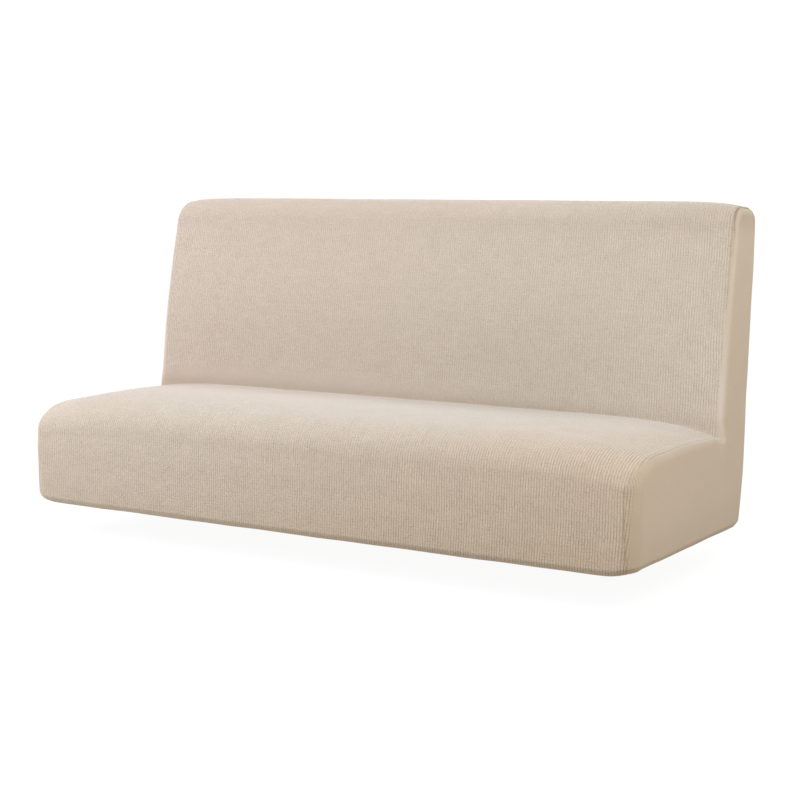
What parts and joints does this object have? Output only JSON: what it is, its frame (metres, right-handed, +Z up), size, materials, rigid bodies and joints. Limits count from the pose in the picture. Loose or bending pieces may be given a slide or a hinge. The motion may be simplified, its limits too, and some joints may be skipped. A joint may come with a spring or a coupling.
{
  "type": "stretch futon cover",
  "caption": "One-piece fitted stretch cover for an armless futon sofa, shown in the shape that the sofa gives it: apron, seat, backrest and L-shaped ends, hollow and open below.",
  "frame": {"origin": "inside face of the cloth at the middle of the backrest's top, where the back of the sofa carries the cover", "axes": "+X to the right of somebody who looks at the front, +Y from the front to the rear, +Z up"},
  "size_m": [1.88, 0.8168, 0.8603],
  "materials": {
    "cover_knit": "matt beige stretch knit with a small raised check",
    "end_knit": "matt beige stretch knit, the same cloth stretched smoother"
  },
  "bodies": {
    "root": {"main_panel": "cover_knit", "end_panel_left": "end_knit", "end_panel_right": "end_knit"}
  },
  "joints": []
}
